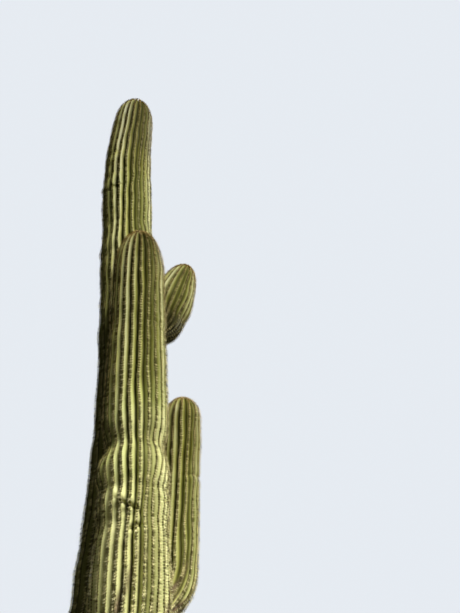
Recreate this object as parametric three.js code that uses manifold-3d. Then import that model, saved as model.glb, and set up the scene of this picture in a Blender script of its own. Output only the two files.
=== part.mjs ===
// A tall saguaro cactus: one ribbed trunk and three ribbed arms, each with a woolly cushion on its tip.
// Millimetres, +Z up. The origin is on the ground under the middle of the trunk.
// The large arm stands on the -Y side.

import * as THREE from "three";
import { mergeVertices } from "three/addons/utils/BufferGeometryUtils.js";
import Module from "manifold-3d";

const wasm = await Module();
wasm.setup();

// Driving dimensions of the trunk
const TRUNK = {
  height: 8610,
  radius: 252,
  ribs: 22,
  dome: 480, // length of the tip that rounds over
  lean: 396, // how far the tip stands to -X of the foot
  leanStart: 3250, // height where the trunk starts to lean
  leanLength: 4900, // height over which it leans
  flare: 0.24, // how much wider the trunk is where it meets the ground
  flareHeight: 170, // height over which the root flare fades
  foot: 0.93, // the corky foot is this share of the full radius
  footHeight: 2300, // height where the trunk is full again
  corkHeight: 1500, // height where the grooves are full
  ringSpacing: 380,
};

// Where the trunk narrows for good: from height, over length, share of the radius
const TRUNK_TAPERS = [
  [4000, 3000, 0.035],
  [6850, 1750, 0.115],
];

// Pinches round the trunk: height, share of the radius lost, half-length. A negative share is a bulge.
const TRUNK_PINCHES = [
  [1480, 0.025, 80],
  [2740, 0.03, 90],
  [3900, 0.02, 90],
  [4680, 0.035, 130],
  [5420, 0.025, 80],
  [6290, 0.06, 150],
  [7165, 0.025, 70],
];

// Driving dimensions of the ribs, the same on every stem
const RIB_DEPTH = 0.155; // depth of a groove as a share of the stem's radius
const RIB_POINTS = [-0.17, 0.17, 0.5]; // where one rib is sampled: two sides of its crest, then its groove
const NECK_GROOVE = 0.35; // share of the groove that is left at a neck or at the corky foot

// How the parts meet
const CLEARANCE = 0.32; // between two flat faces
const RIB_CLEARANCE = 0.62; // from the trunk's ribs outwards, which leaves 0.3 on a groove's side
const HEIGHT_STEP = 0.05; // between the points that give a stem's direction

// The rounded tips and their woolly cushions
const DOME_POWER = 2.2; // 2 is a true ellipse, and more is blunter
const DOME_STEPS = 6;
const CROWN_SEAT = 0.15; // radius of the flat that carries the cushion, as a share of the stem's radius
const CROWN_WIDTH = 0.85; // radius of the cushion as a share of its flat
const CROWN_RISE = 0.1; // height of the cushion as a share of the stem's radius
const CROWN_SIDES = 16;
const CROWN_STEPS = 5;

// The arms. Each leaves the trunk's middle line at its root height, and its stem stands at its reach.
const ARMS = [
  {
    name: "front_arm",
    colour: 0x8b8a4b,
    rootHeight: 1790,
    reach: 663,
    bearing: -71, // degrees from +X
    elbowRise: 560,
    top: 5570,
    radius: 212,
    dome: 540,
    ribs: 22,
    neck: 0.7, // radius at the trunk as a share of the stem's
    neckEnd: 0.3, // share of the elbow that is all neck
    drift: -228, // how far the tip stands to +X of the stem's foot
    tapers: [[3200, 1900, 0.06]],
    pinches: [
      [2700, -0.035, 200],
      [3030, 0.05, 70],
      [3245, 0.055, 45],
      [3550, 0.165, 90],
      [4480, 0.025, 80],
    ],
    elbowRings: 8,
    ringSpacing: 260,
  },
  {
    name: "side_arm",
    colour: 0x87864a,
    rootHeight: 5040,
    reach: 421,
    bearing: 55,
    elbowRise: 364,
    top: 6135,
    radius: 181,
    dome: 421,
    ribs: 20,
    neck: 0.3,
    neckEnd: 0.5,
    drift: 189,
    tapers: [],
    pinches: [[5624, -0.196, 167]],
    elbowRings: 12,
    ringSpacing: 120,
  },
  {
    name: "rear_arm",
    colour: 0x84834a,
    rootHeight: 2680,
    reach: 562,
    bearing: 50,
    elbowRise: 470,
    top: 4600,
    radius: 156,
    dome: 215,
    ribs: 16,
    neck: 0.6,
    neckEnd: 0.3,
    drift: -18,
    tapers: [],
    pinches: [[3900, 0.05, 80]],
    elbowRings: 8,
    ringSpacing: 300,
  },
];

const GREEN = 0x8c8b4c;
const WOOL = 0xa8946a;

const smoothstep = (t) => THREE.MathUtils.smoothstep(t, 0, 1);
const mix = THREE.MathUtils.lerp;

// A pinch is a bell-shaped loss of radius round one height.
function pinched(height, pinches) {
  return pinches.reduce(
    (kept, [at, loss, half]) => kept * (1 - loss * Math.exp(-(((height - at) / half) ** 2))),
    1,
  );
}

// A stem that narrows for good keeps this share of its radius at a height.
function tapered(height, tapers) {
  return tapers.reduce((kept, [from, length, loss]) => kept - loss * smoothstep((height - from) / length), 1);
}

// The rounding of a tip, from 0 at its end to 1 where the stem is full: a quarter of a full ellipse.
function domed(fromTip, dome) {
  const t = THREE.MathUtils.clamp(fromTip / dome, 0, 1);
  return Math.sqrt(1 - Math.pow(1 - t, DOME_POWER));
}

// The groove across one rib: 0 on the rounded crest and 1 in the sharp valley.
const groove = (phase) => 1 - Math.abs(Math.cos(Math.PI * phase));

// How far back from a tip's end its flat lies, as a share of the dome.
const SEAT_SHARE = 1 - Math.pow(1 - CROWN_SEAT ** 2, 1 / DOME_POWER);

// The way a stem runs at t, found from two points of its middle line close to each other.
function direction(at, t, step) {
  return at(t + step).centre.sub(at(t - step).centre).normalize();
}

// A closed ribbed solid: rings of points round the middle line, with a flat cap at each end.
// at(t) gives the centre, radius and groove at t, and rings holds the values of t.
// side is level across the stem.
function ribbedSolid({ at, step, side, ribs, rings, grow = 0 }) {
  const points = [];
  const index = [];
  const count = ribs * RIB_POINTS.length;
  for (const t of rings) {
    const { centre, radius, depth } = at(t);
    const along = direction(at, t, step);
    const across = side.clone().addScaledVector(along, -side.dot(along)).normalize();
    const out = across.clone().cross(along);
    for (let rib = 0; rib < ribs; rib++) {
      for (const phase of RIB_POINTS) {
        const angle = (2 * Math.PI * (rib + phase)) / ribs;
        const reach = radius * (1 - depth * groove(phase)) + grow;
        const point = centre.clone();
        point.addScaledVector(out, reach * Math.cos(angle));
        point.addScaledVector(across, reach * Math.sin(angle));
        points.push(point);
      }
    }
  }
  const foot = points.length;
  points.push(at(rings[0]).centre, at(rings[rings.length - 1]).centre);
  const lastRing = (rings.length - 1) * count;
  for (let i = 0; i < count; i++) {
    const next = (i + 1) % count;
    for (let ring = 0; ring < lastRing; ring += count) {
      index.push(ring + i, ring + next, ring + count + next);
      index.push(ring + i, ring + count + next, ring + count + i);
    }
    index.push(foot, next, i);
    index.push(foot + 1, lastRing + i, lastRing + next);
  }
  return new THREE.BufferGeometry().setFromPoints(points).setIndex(index);
}

// The heights of a stem's rings: even ones, three at every pinch, and closer ones round the dome.
function ringHeights({ foot, top, dome, pinches, spacing }) {
  const shaft = top - dome;
  const marks = pinches
    .flatMap(([at, , half]) => [at - half, at, at + half])
    .filter((h) => h > foot && h < shaft);
  const steps = Math.round((shaft - foot) / spacing);
  const even = Array.from({ length: steps + 1 }, (_, i) => mix(foot, shaft, i / steps));
  const isFree = (h) => marks.every((mark) => Math.abs(mark - h) > spacing / 3);
  const free = even.filter((h, i) => i === 0 || i === steps || isFree(h));
  const round = Array.from({ length: DOME_STEPS }, (_, i) => {
    const turn = ((i + 1) / DOME_STEPS) * (Math.PI / 2);
    return shaft + dome * Math.sin(turn) * (1 - SEAT_SHARE);
  });
  return [...marks, ...free].sort((a, b) => a - b).concat(round);
}

function toManifold(geometry) {
  const bare = new THREE.BufferGeometry();
  bare.setAttribute("position", geometry.getAttribute("position"));
  bare.setIndex(geometry.index);
  const merged = mergeVertices(bare, 1e-3);
  return new wasm.Manifold(
    new wasm.Mesh({
      numProp: 3,
      vertProperties: merged.attributes.position.array,
      triVerts: new Uint32Array(merged.index.array),
    }),
  );
}

function toGeometry(solid) {
  const mesh = solid.getMesh();
  const geometry = new THREE.BufferGeometry();
  geometry.setAttribute("position", new THREE.BufferAttribute(mesh.vertProperties, 3));
  geometry.setIndex(new THREE.BufferAttribute(mesh.triVerts, 1));
  geometry.computeVertexNormals();
  return geometry;
}

function named(name, geometry, colour) {
  const material = new THREE.MeshStandardMaterial({ color: colour, roughness: 0.6, metalness: 0 });
  const mesh = new THREE.Mesh(geometry, material);
  mesh.name = name;
  return mesh;
}

// The trunk at a height: upright at first, then leaning, then upright again.
function trunkAt(height) {
  const lean = smoothstep((height - TRUNK.leanStart) / TRUNK.leanLength);
  const flare = 1 + TRUNK.flare * Math.exp(-height / TRUNK.flareHeight);
  const foot = mix(TRUNK.foot, 1, smoothstep(height / TRUNK.footHeight));
  const full = TRUNK.radius * flare * foot * tapered(height, TRUNK_TAPERS) * pinched(height, TRUNK_PINCHES);
  return {
    centre: new THREE.Vector3(-TRUNK.lean * lean, 0, height),
    radius: full * domed(TRUNK.height - height, TRUNK.dome),
    depth: RIB_DEPTH * mix(NECK_GROOVE, 1, smoothstep(height / TRUNK.corkHeight)),
  };
}

// The trunk from its flat cut at the ground to the seat of its cushion.
// It can be grown to cut its neighbours.
function trunkSolid(grow = 0) {
  const flareHeights = [0, 45, 110, 220];
  const above = ringHeights({
    foot: TRUNK.ringSpacing,
    top: TRUNK.height,
    dome: TRUNK.dome,
    pinches: TRUNK_PINCHES,
    spacing: TRUNK.ringSpacing,
  });
  return ribbedSolid({
    at: trunkAt,
    step: HEIGHT_STEP,
    side: new THREE.Vector3(0, 1, 0),
    ribs: TRUNK.ribs,
    rings: [...flareHeights, ...above],
    grow,
  });
}

// The level direction in which an arm leaves the trunk.
function bearingOf(arm) {
  const angle = THREE.MathUtils.degToRad(arm.bearing);
  return new THREE.Vector3(Math.cos(angle), Math.sin(angle), 0);
}

// A level direction across an arm, a quarter turn from its bearing.
function acrossOf(arm) {
  const outward = bearingOf(arm);
  return new THREE.Vector3(-outward.y, outward.x, 0);
}

const stemFootOf = (arm) => arm.rootHeight + arm.elbowRise + CLEARANCE;
const armRadius = (arm, height) => arm.radius * tapered(height, arm.tapers) * pinched(height, arm.pinches);

// The elbow's middle line is a quarter of an ellipse, from level in the trunk to upright at the stem's foot.
// It swells from its narrow neck at the trunk's face to the stem's full radius.
function elbowAt(arm, t) {
  const turn = (t * Math.PI) / 2;
  const centre = trunkAt(arm.rootHeight).centre;
  centre.addScaledVector(bearingOf(arm), arm.reach * Math.sin(turn));
  centre.z += arm.elbowRise * (1 - Math.cos(turn));
  const swell = smoothstep((t - arm.neckEnd) / (1 - arm.neckEnd));
  return {
    centre,
    radius: armRadius(arm, stemFootOf(arm)) * mix(arm.neck, 1, swell),
    depth: RIB_DEPTH * mix(NECK_GROOVE, 1, swell),
  };
}

function elbowSolid(arm) {
  return ribbedSolid({
    at: (t) => elbowAt(arm, t),
    step: 1e-3,
    side: acrossOf(arm),
    ribs: arm.ribs,
    rings: Array.from({ length: arm.elbowRings + 1 }, (_, i) => i / arm.elbowRings),
  });
}

// The stem at a height: it starts upright on the elbow and soon leans evenly by its drift.
function armStemAt(arm, height) {
  const soon = 0.12;
  const s = Math.max(0, (height - stemFootOf(arm)) / (arm.top - stemFootOf(arm)));
  const centre = elbowAt(arm, 1).centre.setZ(height);
  centre.x += (arm.drift * s * s * (1 + soon)) / (s + soon);
  return {
    centre,
    radius: armRadius(arm, height) * domed(arm.top - height, arm.dome),
    depth: RIB_DEPTH,
  };
}

function armStemSolid(arm) {
  return ribbedSolid({
    at: (height) => armStemAt(arm, height),
    step: HEIGHT_STEP,
    side: acrossOf(arm),
    ribs: arm.ribs,
    rings: ringHeights({ ...arm, foot: stemFootOf(arm), spacing: arm.ringSpacing }),
  });
}

// A low cushion of wool that sits on the flat of a tip and leans with it.
function crownCushion(at, top, dome, stemRadius) {
  const height = top - dome * SEAT_SHARE;
  const along = direction(at, height, HEIGHT_STEP);
  const foot = at(height).centre.addScaledVector(along, CLEARANCE);
  const width = at(height).radius * CROWN_WIDTH;
  const rise = stemRadius * CROWN_RISE;
  const profile = [new THREE.Vector2(0, 0)];
  for (let i = 0; i < CROWN_STEPS; i++) {
    const turn = ((i / CROWN_STEPS) * Math.PI) / 2;
    profile.push(new THREE.Vector2(width * Math.cos(turn), rise * Math.sin(turn)));
  }
  profile.push(new THREE.Vector2(0, rise));
  const geometry = new THREE.LatheGeometry(profile, CROWN_SIDES);
  geometry.applyQuaternion(new THREE.Quaternion().setFromUnitVectors(new THREE.Vector3(0, 1, 0), along));
  geometry.translate(foot.x, foot.y, foot.z);
  return geometry;
}

const cactus = new THREE.Group();
cactus.add(named("trunk", trunkSolid(), GREEN));
cactus.add(named("trunk_crown", crownCushion(trunkAt, TRUNK.height, TRUNK.dome, TRUNK.radius), WOOL));

const trunkCutter = toManifold(trunkSolid(RIB_CLEARANCE));
for (const arm of ARMS) {
  const elbow = toManifold(elbowSolid(arm)).subtract(trunkCutter);
  const stemAt = (height) => armStemAt(arm, height);
  cactus.add(named(`${arm.name}_elbow`, toGeometry(elbow), arm.colour));
  cactus.add(named(`${arm.name}_stem`, armStemSolid(arm), arm.colour));
  cactus.add(named(`${arm.name}_crown`, crownCushion(stemAt, arm.top, arm.dome, arm.radius), WOOL));
}

export default cactus;
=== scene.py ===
import math

import bpy
import numpy as np
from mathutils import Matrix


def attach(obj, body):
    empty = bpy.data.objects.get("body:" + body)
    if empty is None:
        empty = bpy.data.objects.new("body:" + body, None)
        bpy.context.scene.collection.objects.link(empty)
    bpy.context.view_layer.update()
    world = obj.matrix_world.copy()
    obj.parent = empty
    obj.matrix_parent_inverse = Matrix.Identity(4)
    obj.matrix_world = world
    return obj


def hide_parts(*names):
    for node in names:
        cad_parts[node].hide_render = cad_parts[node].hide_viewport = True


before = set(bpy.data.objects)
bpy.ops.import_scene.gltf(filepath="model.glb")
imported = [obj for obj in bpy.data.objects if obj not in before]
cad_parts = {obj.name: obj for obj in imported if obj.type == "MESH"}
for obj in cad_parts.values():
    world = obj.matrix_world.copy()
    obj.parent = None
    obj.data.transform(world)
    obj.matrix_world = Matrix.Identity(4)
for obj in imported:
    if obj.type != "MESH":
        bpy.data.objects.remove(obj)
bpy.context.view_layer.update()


# The camera stands at eye height in front of the plant and to its right, and looks steeply up at it.
# Its lens takes in about 51 degrees of the tall side of the picture.
CAMERA_PLACE = (0.755, -4.33, 1.55)
CAMERA_TILT = math.radians(41)
PICTURE_HEIGHT = 613
FOCAL_PIXELS = 640
SENSOR = 36

camera_data = bpy.data.cameras.new("camera")
camera_data.sensor_width = SENSOR
camera_data.lens = SENSOR * FOCAL_PIXELS / PICTURE_HEIGHT
camera = bpy.data.objects.new("camera", camera_data)
camera.location = CAMERA_PLACE
camera.rotation_euler = (math.pi / 2 + CAMERA_TILT, 0, 0)
bpy.context.scene.collection.objects.link(camera)
bpy.context.scene.camera = camera


# The trunk's skin: a thick waxy olive rind, folded into ribs that swell and shrink with the water in them.
# It stands on a grey corky foot, leans near its top and closes in a blunt dome. It is made in three lengths
# that meet in pinches of the stem, each a ribbed surface on a grid with a flat end hidden inside.
TRUNK_HEIGHT = 8.61
TRUNK_RADIUS = 0.252
TRUNK_RIBS = 22
TRUNK_DOME = 0.48
TRUNK_LEAN = 0.396
TRUNK_LEAN_START = 3.25
TRUNK_LEAN_LENGTH = 4.9
TRUNK_FLARE = 0.24
TRUNK_FLARE_HEIGHT = 0.17
TRUNK_FOOT = 0.93
TRUNK_FOOT_HEIGHT = 2.3
TRUNK_CORK_HEIGHT = 1.5
TRUNK_DOME_RINGS = 36

# Each taper is the height where it starts, its length and the share of the radius that it takes away.
TRUNK_TAPERS = [(4.0, 3.0, 0.035), (6.85, 1.75, 0.115)]

# Each pinch is its height, the share of the radius that it takes away, and about half its length.
TRUNK_PINCHES = [
    (1.48, 0.025, 0.08),
    (2.74, 0.03, 0.09),
    (3.9, 0.02, 0.09),
    (4.68, 0.035, 0.13),
    (5.42, 0.025, 0.08),
    (6.29, 0.06, 0.15),
    (7.165, 0.025, 0.07),
]

# The pale bloom on the skin by height: full green-white at 1, chalky above that, and brown below 0.
TRUNK_BLOOM = [
    (2.5, 0.56),
    (3.1, 0.51),
    (3.75, 0.36),
    (4.4, 0.2),
    (5.0, 0.12),
    (5.6, 0.1),
    (6.2, 0.28),
    (6.95, 0.28),
    (7.2, -0.1),
    (7.6, -0.5),
]

# The ribs turn by a part of a rib, and by more near the tip, from a height on and over a length.
TRUNK_SHIFT = -0.28
TRUNK_TIP_SHIFT = 0.45
TIP_SHIFT_START = 7.1
TIP_SHIFT_LENGTH = 0.9

# The top of each length of skin, and the spacing of the rings of points along it.
TRUNK_CUTS = {"lower": 2.74, "middle": 5.42, "upper": TRUNK_HEIGHT}
TRUNK_RING = 0.018
FOOT_RING = 0.009
FOOT_RING_END = 1.3
END_RING = 0.0025

# Each fold is a height, the angle it faces in degrees, half its arc, its slant in metres a radian, its depth,
# the height of the roll below it and how many times wider it is than a sharp crease.
TRUNK_FOLDS = [
    (6.995, -150, 75, 0.03, 0.005, 0.014, 3.0),
    (6.77, -125, 35, 0.0, 0.014, 0.004, 1.6),
    (7.4, -145, 65, -0.02, 0.004, 0.014, 3.5),
    (7.95, -150, 60, 0.03, 0.003, 0.001, 4.5),
    (6.27, -118, 75, 0.02, 0.006, 0.006, 2.0),
    (5.85, -160, 60, 0.03, 0.006, 0.01, 4.0),
    (5.05, -150, 70, -0.03, 0.006, 0.01, 4.0),
    (4.6, 40, 90, -0.02, 0.005, 0.004, 1.5),
    (3.3, 130, 80, 0.03, 0.006, 0.005, 1.5),
]

# The shape of a fold, in metres: half the height of its dip, and how far above the fold its roll and its lip
# lie, with half the height of each. Folds less wide than SOFT_FOLD get close rings of points on both sides.
FOLD_DIP = 0.009
FOLD_ROLL = (-0.03, 0.02)
FOLD_LIP = (0.035, 0.025)
FOLD_LIP_SHARE = 0.7
FOLD_FADE = 0.6
FOLD_UNEVEN = 0.004
SOFT_FOLD = 2
FOLD_REACH = 0.06
FOLD_RINGS = 25

# The ribs: their depth as a share of the radius, how round the crest is and how far it leans, how many points
# go round each, and how much paler the skin is painted on one side and darker opposite: painted light, paler
# on the right of the trunk and of the large arm, where the key lamp shines.
RIB_DEPTH = 0.175
NECK_GROOVE = 0.35
DOME_POWER = 2.2
TIP_FLAT = 0.08
POINTS_PER_RIB = 12
CREST_ROUND = 0.16
CREST_LEAN = 0.13
LIT_SIDE_PALING = 0.3

# Areoles are spaced by the first number low on the plant and by the second higher up, with a change between
# that has a start and a length. Over the last length of a stem they come closer by a share.
AREOLE_SPACING = (0.0165, 0.024)
SPACING_RISE = (3.4, 1.2)
CROWD_LENGTH = 0.35
CROWD_SHARE = 0.5

# Waves over a stem: turns round it, pace along it in radians a metre, and size, in ribs or in metres.
WANDER = [(1, 0.9, 0.08), (2, 1.7, 0.06), (3, 3.1, 0.05), (5, 5.3, 0.035), (4, 12.0, 0.03), (7, 19.0, 0.022)]
SWELL = [
    (1, 6.5, 0.0016),
    (2, 15.5, 0.0024),
    (1, 21.0, 0.0018),
    (4, 12.0, 0.0022),
    (7, 19.0, 0.0018),
    (11, 27.0, 0.0012),
]
PHASE_BY_TURNS = 2.1
PHASE_BY_PACE = 1.3


def smoothstep(t):
    """0 below 0 and 1 above 1, and between them 3 t squared less 2 t cubed."""
    t = np.clip(t, 0, 1)
    return t * t * (3 - 2 * t)


def tapered(height, tapers):
    """Share of the radius that is left at a height: 1 less each taper's loss times its smoothstep."""
    kept = np.ones_like(height)
    for start, length, loss in tapers:
        kept = kept - loss * smoothstep((height - start) / length)
    return kept


def pinched(height, pinches):
    """Share of the radius that pinches leave: the product of 1 less loss x the bell exp(-(d / half)^2)."""
    kept = np.ones_like(height)
    for at, loss, half in pinches:
        kept = kept * (1 - loss * np.exp(-(((height - at) / half) ** 2)))
    return kept


def domed(from_tip, dome):
    """Rounding of a tip: the square root of 1 - (1 - t)^2.2, with t the distance from the tip in domes."""
    t = np.clip(from_tip / dome, 0, 1)
    return np.sqrt(1 - (1 - t) ** DOME_POWER)


def dome_heights(top, dome, rings):
    """Heights of the rings round a dome, at even turns of a quarter circle up to its small flat tip."""
    turn = np.linspace(0, math.pi / 2, rings + 1)[1:]
    flat = 1 - (1 - TIP_FLAT**2) ** (1 / DOME_POWER)
    return top - dome + dome * np.sin(turn) * (1 - flat)


def shaft_heights(low, high, spacing, folds=()):
    """Even heights from low to high, with fine ones round each sharp fold.

    Both ends have one more ring close by, so that two lengths that meet there are shaded alike.
    """
    heights = [np.linspace(low, high, max(2, round((high - low) / spacing) + 1))]
    sharp = [at for at, *_, wide in folds if wide < SOFT_FOLD]
    heights += [np.linspace(at - FOLD_REACH, at + FOLD_REACH, FOLD_RINGS) for at in sharp]
    heights = np.unique(np.concatenate(heights).round(4))
    heights = heights[(heights > low + 2 * END_RING) & (heights < high - 2 * END_RING)]
    close = np.diff(heights) < END_RING
    inner = heights[np.concatenate([[True], ~close])]
    return np.concatenate([[low, low + END_RING], inner, [high - END_RING, high]])


def unit(vectors):
    """Vectors divided by their own length."""
    return vectors / np.linalg.norm(vectors, axis=-1, keepdims=True)


def stem(centre, radius, depth, ribs, side, **more):
    """A stem as arrays: its rings' centres, radii and groove depths, and each ring's own directions.

    along is the middle line's direction, across is the level side direction made square to it, and out is
    the third direction. Angles are counted from out towards across. share is the radius as a share of the
    largest, and count is the number of areoles up to each ring, counted along the slope of the skin. They
    stand further apart higher up, and twice as close at the growing tip.
    """
    length = np.concatenate([[0], np.cumsum(np.linalg.norm(np.diff(centre, axis=0), axis=1))])
    along = unit(np.gradient(centre, length, axis=0))
    side = np.array(side)
    across = unit(side - (along @ side)[:, None] * along)
    start, rise = SPACING_RISE
    near, far = AREOLE_SPACING
    spacing = near + (far - near) * smoothstep((centre[:, 2] - start) / rise)
    spacing = spacing * (1 - CROWD_SHARE * smoothstep(1 - (length[-1] - length) / CROWD_LENGTH))
    slope = np.hypot(np.diff(length), np.diff(radius))
    count = np.concatenate([[0], np.cumsum(slope / spacing[1:])])
    made = {"centre": centre, "radius": radius, "depth": depth, "ribs": ribs, "length": length}
    made.update(share=radius / radius.max(), count=count)
    made.update(along=along, across=across, out=np.cross(across, along))
    made.update(more)
    return made


def waves(table, s, angle):
    """Sum over the table of size x sin(turns x angle - pace x length + a phase of its own)."""
    length = s["length"][:, None]
    total = np.zeros(np.broadcast_shapes(length.shape, angle.shape))
    for turns, pace, size in table:
        phase = PHASE_BY_TURNS * s["seed"] * turns + PHASE_BY_PACE * pace
        total = total + size * np.sin(turns * angle - pace * length + phase)
    return total


def folded(s, angle):
    """Folds across the ribs, in metres: a dip on a slanting line, with a roll below it and a lip above.

    All three are bells of the height, size x exp(-((height - place) / half)^2). Each fold fades out at both
    ends of its arc by a power of a cosine.
    """
    height = s["centre"][:, 2:3]
    total = np.zeros(np.broadcast_shapes(height.shape, angle.shape))
    for at, facing, arc, slant, dip, roll, wide in s["folds"]:
        off = (angle - math.radians(facing) + math.pi) % (2 * math.pi) - math.pi
        window = np.cos(np.clip(np.abs(off) / math.radians(arc), 0, 1) * math.pi / 2) ** FOLD_FADE
        above = (height - at - slant * off - FOLD_UNEVEN * np.sin(9 * angle + s["seed"])) / wide
        sizes = ((-dip, 0, FOLD_DIP), (roll, *FOLD_ROLL), (FOLD_LIP_SHARE * dip, *FOLD_LIP))
        bells = sum(size * np.exp(-(((above - place) / half) ** 2)) for size, place, half in sizes)
        total = total + bells * window
    return total


# Corky bark: the waves of its uneven edge, and its cracks, made of plane waves of two limits of length. They
# are drawn out along the stem, and their width is counted in the height of the waves.
CORK_EDGE = [(1, 2.9, 0.4), (3, 6.1, 0.35), (7, 11.0, 0.3), (12, 23.0, 0.25)]
CRACK_WAVES = 15
CRACK_SIZE = (0.05, 0.11)
CRACK_STRETCH = (1, 1, 0.45)
CRACK_WIDTH = 0.22
CRACK_DEEP = 0.004


def corky(s, angle):
    """Share of cork on the skin: full at the stem's foot, none past the cork's end, with an uneven edge."""
    end, fade = s["cork"]
    return smoothstep((end - s["length"][:, None]) / fade + 0.5 + waves(CORK_EDGE, s, angle))


def crackle(points):
    """Cracks between bark plates, 1 in a crack and 0 on a plate.

    They lie where a sum of plane waves in fixed random directions passes through 0.
    """
    draw = np.random.default_rng(3)
    way = unit(draw.normal(size=(CRACK_WAVES, 3)) * CRACK_STRETCH)
    pace = 2 * math.pi / draw.uniform(*CRACK_SIZE, CRACK_WAVES)
    phase = draw.uniform(0, 2 * math.pi, CRACK_WAVES)
    total = sum(np.sin(points @ w * p + f) for w, p, f in zip(way, pace, phase)) / math.sqrt(CRACK_WAVES / 2)
    return np.exp(-((total / CRACK_WIDTH) ** 2))


def pleat(phase):
    """Depth across a rib, 0 on its rounded crest and 1 in the sharp groove, with straight flanks between.

    With t the distance from the crest in half ribs, it is sqrt(t^2 + round^2), brought to run from 0 to 1.
    """
    t = 2 * np.abs(phase - np.round(phase))
    return (np.sqrt(t * t + CREST_ROUND**2) - CREST_ROUND) / (math.sqrt(1 + CREST_ROUND**2) - CREST_ROUND)


def rib_point(s, phase):
    """Points of the skin at a phase counted in ribs: a crest at each whole number, a groove half way between.

    The angle is the phase plus the shift, less the crest's lean, over the number of ribs. gather x sin(angle
    from one side) is taken off, so that the ribs stand closer on that side, and waves let them wander. The
    reach is radius x (1 - depth x pleat), plus swelling and folds, less the cracks in cork. Swelling is
    calmer on one side. Gives the points, the level way to each, the share of cork and the cracks.
    """
    valley = pleat(phase)
    plain = 2 * math.pi * (phase + s["shift"][:, None] - CREST_LEAN * (1 - valley)) / s["ribs"]
    plain = plain - s["gather"][:, None] * np.sin(plain - s["gather_side"])
    angle = plain + 2 * math.pi * waves(WANDER, s, plain) / s["ribs"]
    towards = np.cos(angle)[..., None] * s["out"][:, None] + np.sin(angle)[..., None] * s["across"][:, None]
    reach = s["radius"][:, None] * (1 - s["depth"][:, None] * valley)
    uneven = s["uneven"] * (1 - s["calm"] * (1 + np.cos(plain - s["calm_side"])) / 2)
    reach = reach + (waves(SWELL, s, plain) * uneven + folded(s, plain)) * s["share"][:, None]
    points = s["centre"][:, None] + reach[..., None] * towards
    cork = corky(s, plain)
    crack = crackle(points) * cork
    return points - CRACK_DEEP * crack[..., None] * towards, towards, cork, crack


def mesh_piece(name, points, faces, material, smooth, uv=None, values=None):
    """An object from arrays of points and of faces, at the origin, riding on the plant.

    faces is a list of arrays, each with one number of corners, and smooth says how each is shaded. uv holds
    two numbers for each corner, and values holds named numbers, one for each point.
    """
    corners = np.concatenate([f.ravel() for f in faces]).astype(np.int32)
    sizes = np.concatenate([np.full(len(f), f.shape[1]) for f in faces]).astype(np.int32)
    starts = np.concatenate([[0], np.cumsum(sizes)[:-1]]).astype(np.int32)
    mesh = bpy.data.meshes.new(name)
    mesh.vertices.add(len(points))
    mesh.vertices.foreach_set("co", np.asarray(points, np.float32).ravel())
    mesh.loops.add(len(corners))
    mesh.loops.foreach_set("vertex_index", corners)
    mesh.polygons.add(len(sizes))
    mesh.polygons.foreach_set("loop_start", starts)
    flags = np.concatenate([np.full(len(f), s) for f, s in zip(faces, smooth)])
    mesh.polygons.foreach_set("use_smooth", flags)
    if uv is not None:
        mesh.uv_layers.new(name="ribs").data.foreach_set("uv", np.asarray(uv, np.float32).ravel())
    for word, numbers in (values or {}).items():
        layer = mesh.attributes.new(word, "FLOAT", "POINT")
        layer.data.foreach_set("value", np.asarray(numbers, np.float32).ravel())
    mesh.update(calc_edges=True)
    mesh.materials.append(material)
    piece = bpy.data.objects.new(name, mesh)
    bpy.context.scene.collection.objects.link(piece)
    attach(piece, "root")
    return piece


GOLDEN_SHARE = 0.381966
SEED_SHARE = 0.13


def areole_shift(s):
    """A fixed share of the areoles' spacing for each rib, so that neighbours' areoles don't line up."""
    return (np.arange(s["ribs"]) * GOLDEN_SHARE + SEED_SHARE * s["seed"]) % 1


def skin_piece(name, s, low, high, material):
    """A closed length of skin between two rings: a grid of rings and ribs, with a flat fan over each end.

    Its map's first number is the phase from the nearest crest, and its second the count of areoles.
    """
    ribs, around = s["ribs"], s["ribs"] * POINTS_PER_RIB
    part = {k: v[low : high + 1] if isinstance(v, np.ndarray) else v for k, v in s.items()}
    points, _, cork, crack = rib_point(part, np.arange(around)[None] / POINTS_PER_RIB)
    rings = high - low + 1
    points = np.concatenate([points.reshape(-1, 3), part["centre"][:1], part["centre"][-1:]])

    ring, turn = np.meshgrid(np.arange(rings - 1), np.arange(around), indexing="ij")
    here, after = ring * around + turn, ring * around + (turn + 1) % around
    quads = np.stack([here, after, after + around, here + around], -1).reshape(-1, 4)
    one, two = np.arange(around), (np.arange(around) + 1) % around
    last = (rings - 1) * around
    foot = np.stack([np.full(around, rings * around), two, one], -1)
    tip = np.stack([np.full(around, rings * around + 1), last + one, last + two], -1)

    left = turn.ravel() / POINTS_PER_RIB
    right = left + 1 / POINTS_PER_RIB
    nearest = np.floor(left + 0.5)
    phase = np.stack([left, right, right, left], -1) - nearest[:, None]
    below, above = part["count"][ring.ravel()], part["count"][ring.ravel() + 1]
    shift = areole_shift(s)[(nearest % ribs).astype(int)]
    count = np.stack([below, below, above, above], -1) + shift[:, None]
    uv = np.concatenate([np.stack([phase, count], -1).reshape(-1, 2), np.full((6 * around, 2), 0.5)])

    # Painted light: the bloom is scaled up on the calm side, the lamp-lit right of the trunk and the large
    # arm, and scaled down on the far side.
    bearing = np.arange(around)[None] * 2 * math.pi / around
    bloom = part["bloom"][:, None] * (1 + LIT_SIDE_PALING * np.cos(bearing - s["calm_side"]))
    values = {"cork": [*cork.ravel(), 0, 0], "crack": [*crack.ravel(), 0, 0], "bloom": [*bloom.ravel(), 0, 0]}
    return mesh_piece(name, points, [quads, foot, tip], material, [True, False, False], uv, values)


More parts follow.
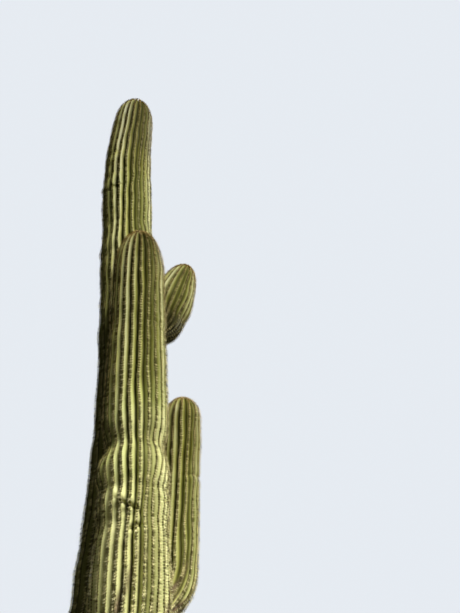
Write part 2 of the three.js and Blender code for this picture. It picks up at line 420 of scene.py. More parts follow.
class Reading:
    """A number, colour or vector that a node gives. Arithmetic on it adds Math nodes."""

    def __init__(self, paint, socket):
        self.paint = paint
        self.socket = socket

    def math(self, operation, *values):
        return self.paint.node("ShaderNodeMath", {"operation": operation}, dict(enumerate(values)))

    def __add__(self, other):
        return self.math("ADD", self, other)

    def __radd__(self, other):
        return self.math("ADD", other, self)

    def __sub__(self, other):
        return self.math("SUBTRACT", self, other)

    def __rsub__(self, other):
        return self.math("SUBTRACT", other, self)

    def __mul__(self, other):
        return self.math("MULTIPLY", self, other)

    def __rmul__(self, other):
        return self.math("MULTIPLY", other, self)

    def __abs__(self):
        return self.math("ABSOLUTE", self)

    def fraction(self):
        return self.math("FRACT", self)


def tint(red, green, blue):
    """A colour as it looks on a screen, from 0 to 255, turned to the linear light that a shader takes."""
    seen = np.array([red, green, blue]) / 255
    light = np.where(seen <= 0.04045, seen / 12.92, ((seen + 0.055) / 1.055) ** 2.4)
    return (*light.tolist(), 1.0)


class Paint:
    """The nodes of one material or of the surround, put together one by one."""

    def __init__(self, owner):
        self.owner = owner
        owner.use_nodes = True
        self.tree = owner.node_tree
        self.tree.nodes.clear()

    def node(self, kind, settings=None, inputs=None, output=0):
        """Adds a node, sets its settings, then the values or links of its sockets, and gives one output."""
        made = self.tree.nodes.new(kind)
        for word, setting in (settings or {}).items():
            setattr(made, word, setting)
        for key, value in (inputs or {}).items():
            if isinstance(value, Reading):
                self.tree.links.new(value.socket, made.inputs[key])
            else:
                made.inputs[key].default_value = value
        return Reading(self, made.outputs[output]) if len(made.outputs) else None

    def place(self, stretch=(1, 1, 1)):
        """The point on the object in metres, with each direction multiplied by its stretch."""
        here = self.node("ShaderNodeTexCoord", output="Object")
        return self.node("ShaderNodeVectorMath", {"operation": "MULTIPLY"}, {0: here, 1: stretch})

    def value(self, word):
        """The piece's own named number at this point."""
        return self.node("ShaderNodeAttribute", {"attribute_name": word}, output="Fac")

    def split(self, vector, direction):
        """One of a vector's three numbers."""
        return self.node("ShaderNodeSeparateXYZ", None, {0: vector}, direction)

    def noise(self, vector, scale, detail=3.0, rough=0.55):
        """Cloudy noise, from 0 to 1 and mostly near a half."""
        sizes = {"Vector": vector, "Scale": scale, "Detail": detail, "Roughness": rough}
        return self.node("ShaderNodeTexNoise", None, sizes, "Fac")

    def ramp(self, value, low, high):
        """0 where the value is low or less, 1 where it is high or more, and a smooth rise between."""
        steps = {"Value": value, "From Min": low, "From Max": high, "To Min": 0.0, "To Max": 1.0}
        return self.node("ShaderNodeMapRange", {"interpolation_type": "SMOOTHSTEP"}, steps)

    def blend(self, share, first, second):
        """A colour between two: the first where share is 0 and the second where it is 1."""
        settings = {"data_type": "RGBA", "clamp_factor": True}
        return self.node("ShaderNodeMix", settings, {0: share, 6: first, 7: second}, 2)

    def relief(self, height):
        """The surface's direction with bumps on it, whose height is given in millimetres."""
        return self.node("ShaderNodeBump", None, {"Height": height, "Distance": 0.001}, "Normal")

    def finish(self, colour, roughness, normal=None, **fixed):
        """Closes a material. fixed names the shader's other sockets, with _ for a blank."""
        sockets = {"Base Color": colour, "Roughness": roughness}
        if normal is not None:
            sockets["Normal"] = normal
        sockets.update({word.replace("_", " "): value for word, value in fixed.items()})
        shader = self.node("ShaderNodeBsdfPrincipled", None, sockets, "BSDF")
        self.node("ShaderNodeOutputMaterial", None, {"Surface": shader})
        return self.owner


def skin_material():
    """Waxy skin: olive flanks, a painted highlight near the crest, painted shade in the grooves, brown round
    the areoles, and cork.

    Bloom pales the skin: from 0 to 1 towards pale green, above 1 towards chalk, and below 0 it browns it. Its
    values also carry painted light: paler on the lamp-lit side, and painted shade under the side arm's neck.
    """
    paint = Paint(bpy.data.materials.new("stem_skin_paint"))
    where = paint.node("ShaderNodeUVMap", {"uv_map": "ribs"})
    phase = abs(paint.split(where, 0)) * 2
    from_areole = abs((paint.split(where, 1) + 0.5).fraction() - 0.5) * 2
    bloom, cork, crack = paint.value("bloom"), paint.value("cork"), paint.value("crack")

    clouds = paint.noise(paint.place((1, 1, 0.4)), 2.6, 3)
    streaks = paint.noise(paint.place((1, 1, 0.06)), 34, 3, 0.6)
    wrinkles = paint.noise(paint.place((1, 1, 8)), 15, 4, 0.6)
    grain = paint.noise(paint.place(), 150, 3, 0.65)
    valley = paint.ramp(phase, 0.45, 0.92)
    crest = 1 - paint.ramp(phase, 0.05, 0.2)

    cloudy = paint.ramp(clouds, 0.35, 0.68)
    young = paint.blend(cloudy, tint(108, 109, 42), tint(134, 132, 60))
    pale = paint.blend(cloudy, tint(160, 167, 98), tint(188, 192, 126))
    colour = paint.blend(bloom, young, pale)
    colour = paint.blend(paint.ramp(bloom, 1.0, 1.6), colour, tint(208, 210, 152))
    colour = paint.blend(paint.ramp(streaks, 0.45, 0.8) * 0.45, colour, tint(180, 176, 128))
    colour = paint.blend(paint.ramp(wrinkles, 0.56, 0.78) * 0.3, colour, tint(186, 180, 136))
    # Painted highlight: the skin is paled near each crest.
    colour = paint.blend((1 - paint.ramp(phase, 0.3, 0.6)) * 0.28, colour, tint(188, 192, 142))
    # Painted shade: the skin is darkened in the grooves.
    colour = paint.blend(valley * 0.8, colour, tint(52, 54, 8))
    colour = paint.blend(crest * 0.3, colour, tint(112, 108, 60))
    halo = crest * (1 - paint.ramp(from_areole, 0.3, 0.9))
    colour = paint.blend(halo * 0.6, colour, tint(62, 58, 24))
    colour = paint.blend(paint.ramp(grain, 0.5, 0.8) * 0.2, colour, tint(56, 56, 24))
    # Bloom below 0 darkens the skin towards dark olive brown; on the side arm's neck this is painted shade.
    colour = paint.blend(paint.ramp(0 - bloom, 0.0, 1.0) * 0.8, colour, tint(44, 42, 18))
    scars = paint.ramp(paint.noise(paint.place((1, 1, 0.55)), 7.5, 4, 0.7), 0.72, 0.76)
    colour = paint.blend(scars * 0.75, colour, tint(164, 142, 108))

    mottle = paint.noise(paint.place((1, 1, 0.5)), 24, 5, 0.65)
    cells = {"Vector": paint.place(CRACK_STRETCH), "Scale": 46.0}
    plates = paint.node("ShaderNodeTexVoronoi", {"feature": "DISTANCE_TO_EDGE"}, cells, "Distance")
    chips = paint.ramp(plates, 0.02, 0.2)
    bark = paint.blend(paint.ramp(mottle, 0.35, 0.7), tint(96, 82, 62), tint(158, 144, 118))
    bark = paint.blend((1 - chips) * 0.6, bark, tint(70, 58, 42))
    bark = paint.blend(paint.ramp(crack, 0.25, 0.9), bark, tint(44, 36, 26))
    colour = paint.blend(cork, colour, bark)

    humps = crest * from_areole * 1.8
    height = humps + wrinkles * 1.2 + grain * 0.4 + scars * 0.8 + cork * (chips * 1.6 + mottle * 2.4)
    rough = 0.5 + valley * 0.2 + crest * 0.15 + scars * 0.2 + cork * 0.35
    return paint.finish(colour, rough, paint.relief(height), Specular_IOR_Level=0.18)


def trunk_rings():
    """Heights of the trunk's rings, one on each cut: fine at the corky foot, even above it, then the dome."""
    cuts = [FOOT_RING_END, *list(TRUNK_CUTS.values())[:-1], TRUNK_HEIGHT - TRUNK_DOME]
    shaft = [shaft_heights(low, high, TRUNK_RING, TRUNK_FOLDS) for low, high in zip(cuts, cuts[1:])]
    foot = shaft_heights(0, FOOT_RING_END, FOOT_RING)
    dome = dome_heights(TRUNK_HEIGHT, TRUNK_DOME, TRUNK_DOME_RINGS)
    return np.concatenate([np.unique(np.concatenate([foot, *shaft])), dome])


def trunk_axis(height):
    """The trunk's middle line: it moves to -X by the lean times a smoothstep of the height."""
    lean = smoothstep((height - TRUNK_LEAN_START) / TRUNK_LEAN_LENGTH)
    return np.stack([-TRUNK_LEAN * lean, np.zeros_like(height), height], -1)


def trunk_radius(height):
    """Full radius times the root flare, the narrower foot, the tapers, the pinches and the dome."""
    flare = 1 + TRUNK_FLARE * np.exp(-height / TRUNK_FLARE_HEIGHT)
    foot = TRUNK_FOOT + (1 - TRUNK_FOOT) * smoothstep(height / TRUNK_FOOT_HEIGHT)
    full = TRUNK_RADIUS * flare * foot * tapered(height, TRUNK_TAPERS) * pinched(height, TRUNK_PINCHES)
    return full * domed(TRUNK_HEIGHT - height, TRUNK_DOME)


heights = trunk_rings()
trunk_groove = NECK_GROOVE + (1 - NECK_GROOVE) * smoothstep(heights / TRUNK_CORK_HEIGHT)
trunk = stem(
    trunk_axis(heights),
    trunk_radius(heights),
    RIB_DEPTH * trunk_groove,
    TRUNK_RIBS,
    (0, 1, 0),
    seed=0.7,
    shift=TRUNK_SHIFT + TRUNK_TIP_SHIFT * smoothstep((heights - TIP_SHIFT_START) / TIP_SHIFT_LENGTH),
    gather=np.zeros_like(heights),
    gather_side=0,
    uneven=1.5,
    calm=0.8,
    calm_side=0.3,
    folds=TRUNK_FOLDS,
    cork=(1.7, 1.2),
    bloom=np.interp(heights, *np.transpose(TRUNK_BLOOM)),
)
skin_paint = skin_material()
spans = {}
low = 0
for word, cut in TRUNK_CUTS.items():
    high = int(np.abs(heights - cut).argmin())
    piece = skin_piece(f"trunk_{word}_skin", trunk, low, high, skin_paint)
    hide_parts("trunk")
    spans["trunk", word] = (heights[low], heights[high])
    low = high


# The three arms' skins: each arm leaves the trunk by a narrow neck, swells through its elbow and grows up.
# They are the same waxy rind as the trunk, greener where they are young, with folds where dry years pinched
# them. Each is one skin from inside the trunk to its tip, and the large arm is cut in two at a pinch.
ELBOW_START = 0.12
ELBOW_LENGTH = 1.1
DRIFT_SOON = 0.12
STEM_GAP = 0.00032
ARM_DOME_RINGS = 34
ARM_CALM = 0.5
ARM_CALM_SIDE = 1.2

# An arm starts on the trunk's middle line at the height root. It goes out by reach at a bearing in degrees,
# rises by rise in its bend, and grows on to top. Its neck is a share of its radius, up to neck_end of the
# bend. drift is the lean of its tip along X. shifts turns the ribs and bloom pales the skin by height, or
# darkens it below 0, which on the side arm's neck is painted shade. gather says how much closer the ribs
# stand
# on one side: a share, the side in degrees, the height below which they do, and the length over which that
# comes in. cork says how far bark reaches along the arm, and how long its edge is.
ARMS = {
    "front_arm": {
        "root": 1.79,
        "reach": 0.663,
        "bearing": -71,
        "rise": 0.56,
        "top": 5.57,
        "radius": 0.212,
        "dome": 0.54,
        "ribs": 22,
        "neck": 0.7,
        "neck_end": 0.3,
        "drift": -0.228,
        "tapers": [(3.2, 1.9, 0.06)],
        "pinches": [
            (2.7, -0.035, 0.2),
            (3.03, 0.05, 0.07),
            (3.245, 0.055, 0.045),
            (3.55, 0.165, 0.09),
            (4.48, 0.025, 0.08),
        ],
        "folds": [
            (3.1, -20, 26, -0.11, 0.025, 0.011, 1.0),
            (2.97, -7, 17, 0.07, 0.024, 0.009, 1.0),
            (3.2, 120, 90, 0.03, 0.012, 0.006, 1.0),
            (3.48, -105, 60, 0.0, 0.004, 0.022, 4.0),
            (4.5, 100, 90, 0.02, 0.007, 0.0035, 1.5),
        ],
        "cuts": {"lower": 3.55, "upper": None},
        "ring": 0.014,
        "seed": 2.3,
        "shifts": [
            (2.87, -0.47),
            (3.09, -0.42),
            (3.3, -0.26),
            (3.5, 0.04),
            (3.7, -0.15),
            (3.9, -0.26),
            (4.2, -0.31),
        ],
        "gather": (0.2, 15, 3.5, 0.25),
        "uneven": 0.8,
        "cork": (0.95, 0.7),
        "bloom": [
            (2.7, 1.9),
            (2.95, 2.0),
            (3.15, 2.0),
            (3.3, 1.24),
            (3.5, 1.2),
            (3.62, 1.6),
            (3.78, 1.1),
            (4.0, 0.33),
            (4.4, 0.1),
            (4.85, 0.05),
            (5.1, -0.3),
            (5.4, -0.5),
        ],
    },
    "side_arm": {
        "root": 5.04,
        "reach": 0.421,
        "bearing": 55,
        "rise": 0.364,
        "top": 6.135,
        "radius": 0.181,
        "dome": 0.421,
        "ribs": 20,
        "neck": 0.3,
        "neck_end": 0.5,
        "drift": 0.189,
        "tapers": [],
        "pinches": [(5.624, -0.196, 0.167)],
        "folds": [],
        "cuts": {"whole": None},
        "ring": 0.012,
        "seed": 4.1,
        "shifts": [(0, 0)],
        "gather": (0, 0, 0, 1),
        "uneven": 0.5,
        "cork": (0.15, 0.15),
        # Painted shade: these low values darken the side arm's elbow and neck, its underside, where its own
        # shade falls.
        "bloom": [(5.24, -1.8), (5.33, -1.5), (5.51, -0.35), (5.6, -0.1)],
    },
    "rear_arm": {
        "root": 2.68,
        "reach": 0.562,
        "bearing": 50,
        "rise": 0.47,
        "top": 4.6,
        "radius": 0.156,
        "dome": 0.215,
        "ribs": 16,
        "neck": 0.6,
        "neck_end": 0.3,
        "drift": -0.018,
        "tapers": [],
        "pinches": [(3.9, 0.05, 0.08)],
        "folds": [(3.86, -60, 80, 0.02, 0.008, 0.004, 1.5)],
        "cuts": {"whole": None},
        "ring": 0.016,
        "seed": 5.6,
        "shifts": [(0, 0)],
        "gather": (0, 0, 0, 1),
        "uneven": 0.8,
        "cork": (0.5, 0.4),
        "bloom": [(3.3, 0.5), (3.9, 0.2), (4.2, -0.35), (4.5, -0.5)],
    },
}


def arm_full(arm, height):
    """An arm's radius before its tip rounds over: full radius times its tapers and pinches."""
    return arm["radius"] * tapered(height, arm["tapers"]) * pinched(height, arm["pinches"])


def arm_stem(arm):
    """An arm as one stem: a quarter of an ellipse out of the trunk, then a shaft that leans by the drift.

    The lean is drift x up^2 x (1 + soon) / (up + soon), with up the share of the shaft's height. The radius
    grows from the neck's share by a smoothstep of the bend. The ribs' shift and the bloom are read from their
    tables in straight lines between heights.
    """
    bearing = math.radians(arm["bearing"])
    outward = np.array([math.cos(bearing), math.sin(bearing), 0])
    foot = arm["root"] + arm["rise"] + STEM_GAP
    start = trunk_axis(np.array([arm["root"]]))
    arc = math.hypot(arm["reach"], arm["rise"]) * ELBOW_LENGTH
    turn = np.linspace(ELBOW_START, 1, round(arc / arm["ring"]))
    elbow = start + arm["reach"] * np.sin(turn * math.pi / 2)[:, None] * outward
    elbow[:, 2] += arm["rise"] * (1 - np.cos(turn * math.pi / 2))
    swell = smoothstep((turn - arm["neck_end"]) / (1 - arm["neck_end"]))

    shaft_top = arm["top"] - arm["dome"]
    cuts = [foot, *[cut for cut in arm["cuts"].values() if cut], shaft_top]
    shaft = [shaft_heights(low, high, arm["ring"], arm["folds"]) for low, high in zip(cuts, cuts[1:])]
    dome = dome_heights(arm["top"], arm["dome"], ARM_DOME_RINGS)
    heights = np.concatenate([np.unique(np.concatenate(shaft))[1:], dome])
    up = (heights - foot) / (arm["top"] - foot)
    centre = start + arm["reach"] * outward + np.zeros((len(heights), 1))
    centre[:, 0] += arm["drift"] * up * up * (1 + DRIFT_SOON) / (up + DRIFT_SOON)
    centre[:, 2] = heights

    neck = arm_full(arm, np.array([foot])) * (arm["neck"] + (1 - arm["neck"]) * swell)
    shaft_radius = arm_full(arm, heights) * domed(arm["top"] - heights, arm["dome"])
    groove = np.concatenate([NECK_GROOVE + (1 - NECK_GROOVE) * swell, np.ones_like(heights)])
    middle = np.concatenate([elbow, centre])
    gather, gather_side, gather_top, gather_length = arm["gather"]
    return stem(
        middle,
        np.concatenate([neck, shaft_radius]),
        RIB_DEPTH * groove,
        arm["ribs"],
        (-outward[1], outward[0], 0),
        seed=arm["seed"],
        shift=np.interp(middle[:, 2], *np.transpose(arm["shifts"])),
        gather=gather * smoothstep((gather_top - middle[:, 2]) / gather_length),
        gather_side=math.radians(gather_side),
        uneven=arm["uneven"],
        calm=ARM_CALM,
        calm_side=ARM_CALM_SIDE,
        folds=arm["folds"],
        cork=arm["cork"],
        bloom=np.interp(middle[:, 2], *np.transpose(arm["bloom"])),
    )


stems = {"trunk": trunk}
for name, arm in ARMS.items():
    stems[name] = arm_stem(arm)
    heights = stems[name]["centre"][:, 2]
    low = 0
    for word, cut in arm["cuts"].items():
        high = len(heights) - 1 if cut is None else int(np.abs(heights - cut).argmin())
        piece = skin_piece(f"{name}_{word}_skin", stems[name], low, high, skin_paint)
        if low == 0:
            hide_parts(f"{name}_elbow")
        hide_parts(f"{name}_stem")
        spans[name, word] = (heights[low], heights[high])
        low = high


# The areoles: a felted pad on each crest every 17 mm low on the plant and every 24 mm high up, from which the
# spines grow. They are low domes of plant wool, joined into one piece for each length of stem.
PAD_SIDES = 5
PAD_LONG = 0.0058
PAD_WIDE = 0.0062
PAD_RISE = 0.004
PAD_SINK = 0.004
PAD_SIZES = (0.8, 1.25)
FELT_YOUNG = 0.4

# On the trunk none stands below the lowest height. Only a small share of them stands on the bark, and the
# others come in from a height on, over a length.
LOWEST_AREOLE = 0.07
BARE_SHARE = 0.03
BARE_HEIGHT = (0.8, 0.9)
EVERY_RING = 3
TOPS = {"trunk": TRUNK_HEIGHT, **{name: arm["top"] for name, arm in ARMS.items()}}
chance = np.random.default_rng(7)


def crest_points(s, low, high):
    """Each areole's place on the crests between two heights, with the directions off, up and across the skin.

    On each rib they lie where the count of spacings from the stem's foot, plus the rib's shift, is whole.
    """
    points, towards, *_ = rib_point(s, np.arange(s["ribs"], dtype=float)[None])
    count = s["count"]
    found = []
    for k, shift in enumerate(areole_shift(s)):
        whole = np.arange(math.ceil(count[0] + shift), math.floor(count[-1] + shift) + 1) - shift
        place, ahead, back = (
            np.stack([np.interp(whole + step, count, points[:, k, i]) for i in range(3)], -1)
            for step in (0, 0.5, -0.5)
        )
        off = np.stack([np.interp(whole, count, towards[:, k, i]) for i in range(3)], -1)
        found.append(np.concatenate([place, ahead - back, off], -1))
    found = np.concatenate(found)
    found = found[(found[:, 2] >= low) & (found[:, 2] < high)]
    up = unit(found[:, 3:6])
    off = unit(found[:, 6:9] - (found[:, 6:9] * up).sum(-1, keepdims=True) * up)
    return found[:, :3], off, up, np.cross(off, up)


def covered(place, s):
    """True where a point lies inside a stem: closer to its nearest middle point than the radius there."""
    centre, radius = s["centre"][::EVERY_RING], s["radius"][::EVERY_RING]
    away = np.linalg.norm(place[:, None] - centre[None], axis=-1)
    nearest = away.argmin(1)
    return away[np.arange(len(place)), nearest] < radius[nearest]


def age_below(top, place, length):
    """Age of what grew at a place, 0 at the tip and near 1 far below it: 1 - exp(-distance down / length)."""
    return 1 - np.exp(-np.clip(top - place[:, 2:3], 0, None) / length)


def pad_piece(name, place, off, up, across, top, material):
    """Low five-sided domes: a ring of points round each place, sunk a little, and one point above it."""
    turn = np.arange(PAD_SIDES)[None, :, None] * 2 * math.pi / PAD_SIDES
    size = chance.uniform(*PAD_SIZES, (len(place), 1, 1))
    ring = np.cos(turn) * up[:, None] * PAD_LONG + np.sin(turn) * across[:, None] * PAD_WIDE
    ring = place[:, None] + ring * size - off[:, None] * PAD_SINK
    points = np.concatenate([ring, place[:, None] + off[:, None] * PAD_RISE * size], 1).reshape(-1, 3)
    first = np.arange(len(place))[:, None] * (PAD_SIDES + 1)
    side = np.arange(PAD_SIDES)
    tip = np.broadcast_to(first + PAD_SIDES, (len(place), PAD_SIDES))
    sides = np.stack([first + side, first + (side + 1) % PAD_SIDES, tip], -1).reshape(-1, 3)
    values = {"age": np.repeat(age_below(top, place, FELT_YOUNG), PAD_SIDES + 1)}
    return mesh_piece(name, points, [sides, first + side[::-1]], material, [True, False], values=values)


def felt_material():
    """Plant felt: tan at the growing tips and brown with age, mottled and matt, with its fuzz as relief."""
    paint = Paint(bpy.data.materials.new("areole_felt_paint"))
    mottle = paint.noise(paint.place(), 90, 3)
    fuzz = paint.noise(paint.place(), 900, 2)
    colour = paint.blend(paint.ramp(mottle, 0.35, 0.65), tint(78, 70, 42), tint(124, 112, 74))
    colour = paint.blend(paint.value("age"), tint(188, 168, 116), colour)
    colour = paint.blend(paint.ramp(fuzz, 0.4, 0.7) * 0.5, colour, tint(50, 42, 24))
    return paint.finish(colour, 0.9, paint.relief(fuzz * 0.8), Specular_IOR_Level=0.2)


felt_paint = felt_material()
areoles = {}
for (name, word), (low, high) in spans.items():
    found = crest_points(stems[name], low, high)
    others = [s for other, s in stems.items() if other != name and "trunk" in (name, other)]
    keep = ~np.any([covered(found[0], s) for s in others], axis=0)
    if name == "trunk":
        start, length = BARE_HEIGHT
        height = found[0][:, 2]
        share = BARE_SHARE + (1 - BARE_SHARE) * smoothstep((height - start) / length)
        share = np.where(height < LOWEST_AREOLE, 0, share)
        keep &= chance.random(len(keep)) < share
    areoles[name, word] = [part[keep] for part in found]
    piece = pad_piece(f"{name}_{word}_areoles", *areoles[name, word], TOPS[name], felt_paint)


# The spines: a spread of stiff awl-shaped spines from every areole, the outer ones pressed back over the skin
# and the middle ones standing off and drooping a little. They are horn, tan at the growing tips and pale
# yellow in the sun with age.
SPINES = 14
MIDDLE_SPINES = 4
MIDDLE_LONG = 0.028
OUTER_LONG = 0.016
LONG_SPREAD = (0.7, 1.1)
SPINE_THICK = 0.0019
MIDDLE_THICK = 1.2
OUTER_THICK = 0.85
YOUNG_THICK = 0.6
YOUNG_LENGTH = 1.2
SPINE_FOOT = 0.004

# How far spines lean from the skin's own direction in degrees, and how they turn round it in radians.
MIDDLE_TILT = 52
OUTER_TILT = 72
TILT_SPREAD = 8
TILT_LIMITS = (35, 84)
MIDDLE_TURN = 1.2
TURN_SPREAD = 0.2
SIDEWAYS = 0.3
OFF_SQUARE = 0.37
SAME_TONE = 0.7


def spine_piece(name, place, off, up, across, top, material):
    """Slim three-sided spikes: for each spine a small triangle in its areole and one point at its far end.

    A spine leans from the skin's own direction by its tilt, towards its turn. Turns are counted from upwards
    and drawn to both sides by a share of sin(2 turn), because more spines lie across the rib than along it.
    """
    shape = (len(place), SPINES)
    number = np.arange(SPINES)[None]
    middle = number < MIDDLE_SPINES
    outer_turn = (number - MIDDLE_SPINES + 0.5) * 2 * math.pi / (SPINES - MIDDLE_SPINES)
    middle_turn = math.pi + (number - (MIDDLE_SPINES - 1) / 2) * MIDDLE_TURN
    turn = np.where(middle, middle_turn, outer_turn)
    turn = turn + SIDEWAYS * np.sin(2 * turn) + chance.normal(0, TURN_SPREAD, shape)
    age = age_below(top, place, YOUNG_LENGTH)
    tilt = np.where(middle, MIDDLE_TILT, OUTER_TILT) + chance.normal(0, TILT_SPREAD, shape)
    tilt = np.radians(np.clip(tilt, *TILT_LIMITS))
    length = np.where(middle, MIDDLE_LONG, OUTER_LONG) * chance.uniform(*LONG_SPREAD, shape)
    length = length * chance.uniform(*LONG_SPREAD, (len(place), 1))
    lean = np.cos(turn)[..., None] * up[:, None] + np.sin(turn)[..., None] * across[:, None]
    towards = np.cos(tilt)[..., None] * off[:, None] + np.sin(tilt)[..., None] * lean
    first = unit(np.cross(towards, across[:, None] + OFF_SQUARE * up[:, None]))
    second = np.cross(towards, first)
    grown = np.where(middle, MIDDLE_THICK, OUTER_THICK) * (YOUNG_THICK + (1 - YOUNG_THICK) * age)
    thick = SPINE_THICK * grown[..., None]
    foot = place[:, None] + off[:, None] * SPINE_FOOT
    thirds = [k * 2 * math.pi / 3 for k in range(3)]
    ring = [foot + thick * (math.cos(a) * first + math.sin(a) * second) for a in thirds]
    points = np.stack([*ring, foot + towards * length[..., None]], 2).reshape(-1, 3)
    start = np.arange(len(place) * SPINES)[:, None, None] * 4
    faces = (start + np.array([[0, 1, 3], [1, 2, 3], [2, 0, 3], [2, 1, 0]])).reshape(-1, 3)
    tone = SAME_TONE * chance.random((len(place), 1)) + (1 - SAME_TONE) * chance.random(shape)
    values = {
        "to_tip": np.tile([0, 0, 0, 1], len(place) * SPINES),
        "age": np.repeat(age, SPINES * 4),
        "tone": np.repeat(tone.ravel(), 4),
    }
    return mesh_piece(name, points, [faces], material, [False], values=values)


def spine_material():
    """Spine horn: a dark foot and tip, and a length that is tan when young and pale yellow with age."""
    paint = Paint(bpy.data.materials.new("spine_horn_paint"))
    along, age, tone = paint.value("to_tip"), paint.value("age"), paint.value("tone")
    old = paint.blend(paint.ramp(tone, 0.15, 0.6), tint(112, 108, 66), tint(240, 236, 190))
    new = paint.blend(paint.ramp(tone, 0.1, 0.6), tint(110, 88, 48), tint(222, 202, 148))
    colour = paint.blend(age, new, old)
    colour = paint.blend(1 - paint.ramp(along, 0.0, 0.15), colour, tint(70, 58, 36))
    colour = paint.blend(paint.ramp(along, 0.85, 1.0), colour, tint(60, 48, 30))
    return paint.finish(colour, 0.5, Specular_IOR_Level=0.4)


spine_paint = spine_material()
for (name, word), found in areoles.items():
    piece = spine_piece(f"{name}_{word}_spines", *found, TOPS[name], spine_paint)


# The crowns: each growing tip carries a small cushion of tan wool, where new ribs and spines come up.
# It is soft plant hair over the flat of the tip, with a brush of young spines standing in it.
CROWN_SHARE = 0.2
CROWN_RISE = 0.014
CROWN_RINGS = 9
CROWN_SIDES = 36
CROWN_HOLE = 0.05
CROWN_SINK = 0.01
BRUSH = 30
BRUSH_SINK = 0.004
BRUSH_SPREAD = 0.7
GOLDEN_ANGLE = 2.399963


def crown_piece(name, s, material):
    """A lumpy cushion: circles round the stem's end, their height on a quarter circle, with waves added."""
    radius = CROWN_SHARE * s["radius"].max()
    end, along, out, across = (s[key][-1] for key in ("centre", "along", "out", "across"))
    share = np.linspace(1, CROWN_HOLE, CROWN_RINGS)[:, None]
    angle = np.arange(CROWN_SIDES)[None] * 2 * math.pi / CROWN_SIDES
    lump = 1 + 0.1 * np.sin(s["ribs"] / 2 * angle + 4 * share) + 0.07 * np.sin(5 * angle - 7 * share)
    flat = radius * share * (1 + 0.04 * np.sin(9 * angle))
    rise = CROWN_RISE * np.sqrt(1 - share**2) * lump - CROWN_SINK * share**2
    places = end + flat[..., None] * (np.cos(angle)[..., None] * out + np.sin(angle)[..., None] * across)
    places = places + rise[..., None] * along
    points = np.concatenate([places.reshape(-1, 3), [end + along * CROWN_RISE, end - along * CROWN_RISE]])
    ring, turn = np.meshgrid(np.arange(CROWN_RINGS - 1), np.arange(CROWN_SIDES), indexing="ij")
    here, after = ring * CROWN_SIDES + turn, ring * CROWN_SIDES + (turn + 1) % CROWN_SIDES
    quads = np.stack([here, after, after + CROWN_SIDES, here + CROWN_SIDES], -1).reshape(-1, 4)
    one, two = np.arange(CROWN_SIDES), (np.arange(CROWN_SIDES) + 1) % CROWN_SIDES
    last, tip = (CROWN_RINGS - 1) * CROWN_SIDES, np.full(CROWN_SIDES, CROWN_RINGS * CROWN_SIDES)
    cap = np.stack([last + one, last + two, tip], -1)
    base = np.stack([two, one, tip + 1], -1)
    return mesh_piece(name, points, [quads, cap, base], material, [True, True, True])


def crown_brush(name, s, material):
    """Young spines that stand in the wool, from points spread over its disc by the golden angle."""
    number = np.arange(BRUSH)
    share = np.sqrt((number + 0.5) / BRUSH)[:, None]
    angle = number[:, None] * GOLDEN_ANGLE
    end, along, out, across = (s[key][-1] for key in ("centre", "along", "out", "across"))
    flat = np.cos(angle) * out + np.sin(angle) * across
    rise = CROWN_RISE * np.sqrt(1 - share**2) - BRUSH_SINK
    place = end + CROWN_SHARE * s["radius"].max() * share * flat + rise * along
    off = unit(along + BRUSH_SPREAD * share * flat)
    sideways = unit(np.cross(along, flat))
    return spine_piece(name, place, off, np.cross(sideways, off), sideways, place[:, 2].max(), material)


def wool_material():
    """Tan wool with painted shade in its hollows, and fine hair as relief."""
    paint = Paint(bpy.data.materials.new("crown_wool_paint"))
    clumps = paint.noise(paint.place(), 110, 4, 0.6)
    hair = paint.noise(paint.place((1, 1, 0.3)), 1400, 2)
    # Painted shade: the wool is darker where its clumps are low, in the hollows of its relief.
    colour = paint.blend(paint.ramp(clumps, 0.35, 0.65), tint(112, 92, 58), tint(182, 164, 120))
    colour = paint.blend(paint.ramp(hair, 0.45, 0.7) * 0.5, colour, tint(92, 74, 46))
    return paint.finish(colour, 0.95, paint.relief(clumps * 2 + hair * 0.7), Sheen_Weight=0.3)


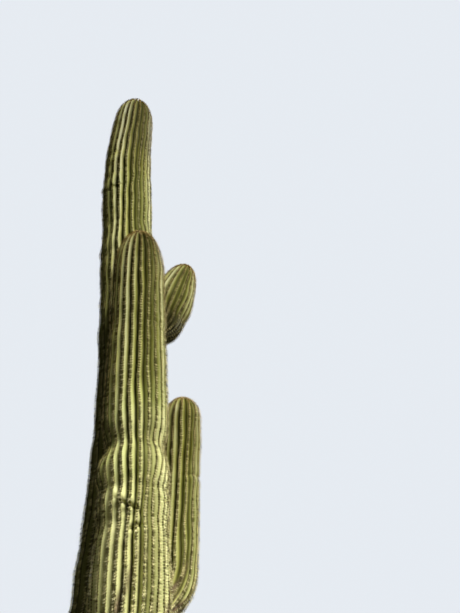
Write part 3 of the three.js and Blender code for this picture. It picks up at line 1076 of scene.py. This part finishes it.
wool_paint = wool_material()
for name, s in stems.items():
    wool = crown_piece(f"{name}_crown_wool", s, wool_paint)
    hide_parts(f"{name}_crown")
    brush = crown_brush(f"{name}_crown_brush", s, spine_paint)


# The floor: a wide plain sheet, matt and pale, level with the flat cut under the trunk.
FLOOR_REACH = 2.2

floor_mesh = bpy.data.meshes.new("floor")
corners = [(x * FLOOR_REACH, y * FLOOR_REACH, 0) for x, y in ((-1, -1), (1, -1), (1, 1), (-1, 1))]
floor_mesh.from_pydata(corners, [], [(0, 1, 2, 3)])
floor_mesh.materials.append(Paint(bpy.data.materials.new("floor_paint")).finish(tint(160, 158, 149), 0.9))
floor = bpy.data.objects.new("floor", floor_mesh)
bpy.context.scene.collection.objects.link(floor)


# The light: one wide soft lamp high to the right in front of the plant, a weaker one from behind it, and a
# pale surround that is dimmer on the plant than to the eye, so that the ribs' shaded flanks stay dark.
LAMPS = {
    "key": {"azimuth": 37, "elevation": 47, "energy": 5.5, "angle": 20, "colour": (1.0, 0.97, 0.9)},
    "back": {"azimuth": 192, "elevation": 38, "energy": 3.0, "angle": 30, "colour": (0.97, 0.98, 1.0)},
}
for name, lamp in LAMPS.items():
    lamp_data = bpy.data.lights.new(name, "SUN")
    lamp_data.energy = lamp["energy"]
    lamp_data.angle = math.radians(lamp["angle"])
    lamp_data.color = lamp["colour"]
    made = bpy.data.objects.new(name, lamp_data)
    made.rotation_euler = (math.radians(90 - lamp["elevation"]), 0, math.radians(lamp["azimuth"]))
    bpy.context.scene.collection.objects.link(made)

SURROUND_LIGHT = 0.045
SURROUND_SEEN = 0.8
surround = Paint(bpy.data.worlds.new("surround"))
seen = surround.node("ShaderNodeLightPath", output="Is Camera Ray")
strength = SURROUND_LIGHT + seen * (SURROUND_SEEN - SURROUND_LIGHT)
colour = surround.blend(seen, (1.0, 0.95, 0.74, 1), (0.84, 0.88, 0.93, 1))
shine = surround.node("ShaderNodeBackground", None, {"Color": colour, "Strength": strength})
surround.node("ShaderNodeOutputWorld", None, {"Surface": shine})
bpy.context.scene.world = surround.owner
bpy.context.scene.view_settings.view_transform = "Standard"
bpy.context.scene.view_settings.look = "Medium High Contrast"
